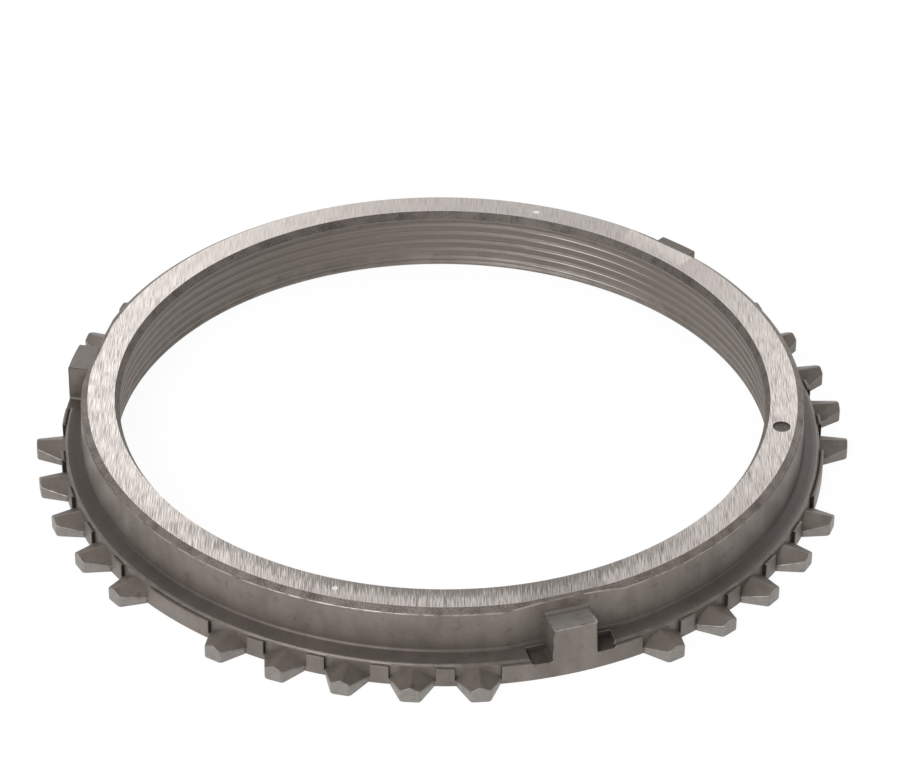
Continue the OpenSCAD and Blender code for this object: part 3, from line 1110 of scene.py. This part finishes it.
def floor_material(stage):
    """Pale floor that looks white and keeps a faint shadow of the ring."""
    material = bpy.data.materials.new("pale_floor")
    material.use_nodes = True
    tree = material.node_tree
    tree.nodes.clear()
    paint = tree.nodes.new("ShaderNodeBsdfDiffuse")
    paint.inputs["Color"].default_value = (*stage.backdrop, 1)
    glow = tree.nodes.new("ShaderNodeEmission")
    glow.inputs["Color"].default_value = (*stage.backdrop, 1)
    glow.inputs["Strength"].default_value = FLOOR_WHITE
    share = tree.nodes.new("ShaderNodeMath")
    share.operation = "MULTIPLY"
    share.inputs[1].default_value = FLOOR_GLOW
    tree.links.new(seen_straight(tree), share.inputs[0])
    mix = tree.nodes.new("ShaderNodeMixShader")
    tree.links.new(share.outputs[0], mix.inputs[0])
    tree.links.new(paint.outputs[0], mix.inputs[1])
    tree.links.new(glow.outputs[0], mix.inputs[2])
    out = tree.nodes.new("ShaderNodeOutputMaterial")
    tree.links.new(mix.outputs[0], out.inputs["Surface"])
    return material


# How bright the room is as soft light
ROOM_LIGHT = 0.45
# How bright the ceiling shows in the steel, and between which heights the walls fade into it
CEILING = 0.3
WALL_TOP, CEILING_START = 0.25, 0.75


def pale_room(context, stage):
    """A white room with a darker ceiling: white where it is looked at, and softer as light."""
    world = bpy.data.worlds.new("pale_room")
    context.scene.world = world
    world.use_nodes = True
    tree = world.node_tree
    back = tree.nodes["Background"]
    back.inputs["Color"].default_value = (*stage.backdrop, 1)
    path = tree.nodes.new("ShaderNodeLightPath")
    way = tree.nodes.new("ShaderNodeTexCoord")
    parts = tree.nodes.new("ShaderNodeSeparateXYZ")
    tree.links.new(way.outputs["Generated"], parts.inputs[0])
    room = tree.nodes.new("ShaderNodeMapRange")
    room.interpolation_type = "SMOOTHSTEP"
    tree.links.new(parts.outputs["Z"], room.inputs["Value"])
    limits = {"From Min": WALL_TOP, "From Max": CEILING_START, "To Min": 1.0, "To Max": CEILING}
    for name, value in limits.items():
        room.inputs[name].default_value = value
    level = room.outputs[0]
    levels = {"Is Diffuse Ray": ROOM_LIGHT, "Is Camera Ray": 1.0, "Is Transmission Ray": 1.0}
    for ray, seen in levels.items():
        pick = tree.nodes.new("ShaderNodeMix")
        tree.links.new(path.outputs[ray], pick.inputs["Factor"])
        tree.links.new(level, pick.inputs["A"])
        pick.inputs["B"].default_value = seen
        level = pick.outputs[0]
    tree.links.new(level, back.inputs["Strength"])


def softbox(name, place, width, height, power):
    """A soft light panel that faces the ring, and that the camera doesn't see."""
    light = bpy.data.lights.new(name, "AREA")
    light.shape = "RECTANGLE"
    light.size = width
    light.size_y = height
    light.energy = power
    lamp = bpy.data.objects.new(name, light)
    lamp.location = place
    lamp.rotation_euler = (-Vector(place)).to_track_quat("-Z", "Y").to_euler()
    lamp.visible_camera = False
    bpy.context.scene.collection.objects.link(lamp)


# The picture, in pixels, and where the middle of the ground face lies in it
PICTURE = (917, 767)
FACE_CENTRE = (442.12, 386.45)
# The camera's film, in millimetres, and the nearest and furthest that it sees, in metres
FILM_WIDTH = 36
NEAREST, FURTHEST = 0.01, 100


def camera(context, stage):
    """The camera, aimed at the middle of the ground face."""
    data = bpy.data.cameras.new("camera")
    data.lens = stage.lens
    data.sensor_width = FILM_WIDTH
    data.shift_x = ((PICTURE[0] - 1) / 2 - FACE_CENTRE[0]) / PICTURE[0]
    data.shift_y = (FACE_CENTRE[1] - (PICTURE[1] - 1) / 2) / PICTURE[0]
    data.clip_start = NEAREST
    data.clip_end = FURTHEST
    eye = bpy.data.objects.new("camera", data)
    level = Matrix.Rotation(stage.view_azimuth, 3, "Z") @ Vector((0, -math.cos(stage.view_elevation), 0))
    away = level + Vector((0, 0, math.sin(stage.view_elevation)))
    target = Vector((0, 0, RING_HEIGHT))
    eye.location = target + away * stage.view_distance
    aim = (-away).to_track_quat("-Z", "Y").to_matrix()
    eye.rotation_euler = (aim @ Matrix.Rotation(stage.view_roll, 3, "Z")).to_euler()
    context.scene.collection.objects.link(eye)
    context.scene.camera = eye


# Each lamp's place, width and height in metres, and its power in watts
LAMPS = {
    "front_softbox": ((-0.69, -0.56, 0.80), 0.7, 0.7, 8),
    "left_card": ((-0.058, 0.232, 0.178), 0.24, 0.08, 0.084),
    "right_card": ((0.229, 0.131, 0.154), 0.18, 0.045, 0.138),
}


class SYNCRING_OT_stage(bpy.types.Operator):
    """Set up the pale floor, the soft light and the camera"""

    bl_idname = "syncring.stage"
    bl_label = "Stage"

    def execute(self, context):
        stage = context.scene.ring_stage
        context.scene.view_settings.view_transform = "Standard"
        floor = solid("floor", pale_floor, stage)
        floor.data.materials.append(floor_material(stage))
        pale_room(context, stage)
        for name, values in LAMPS.items():
            softbox(name, *values)
        camera(context, stage)
        return {"FINISHED"}


class SYNCRING_PT_panel(bpy.types.Panel):
    """Sizes, colours and steps of the synchronizer ring"""

    bl_label = "Synchronizer Ring"
    bl_idname = "SYNCRING_PT_panel"
    bl_space_type = "VIEW_3D"
    bl_region_type = "UI"
    bl_category = "Synchronizer Ring"

    def draw(self, context):
        scene = context.scene
        for group in (scene.ring_sizes, scene.ring_colours, scene.ring_stage):
            box = self.layout.box()
            for name in group.__annotations__:
                box.prop(group, name)
        self.layout.operator(SYNCRING_OT_ring.bl_idname)
        self.layout.operator(SYNCRING_OT_stage.bl_idname)


CLASSES = (
    RingSizes, RingColours, StageSettings, SYNCRING_OT_ring, SYNCRING_OT_stage, SYNCRING_PT_panel,
)


def register():
    for made in CLASSES:
        bpy.utils.register_class(made)
    bpy.types.Scene.ring_sizes = PointerProperty(type=RingSizes)
    bpy.types.Scene.ring_colours = PointerProperty(type=RingColours)
    bpy.types.Scene.ring_stage = PointerProperty(type=StageSettings)


def unregister():
    del bpy.types.Scene.ring_stage
    del bpy.types.Scene.ring_colours
    del bpy.types.Scene.ring_sizes
    for made in reversed(CLASSES):
        bpy.utils.unregister_class(made)


def main():
    """Models the ring and its stage."""
    register()
    bpy.ops.syncring.ring()
    bpy.ops.syncring.stage()


if __name__ == "__main__":
    main()
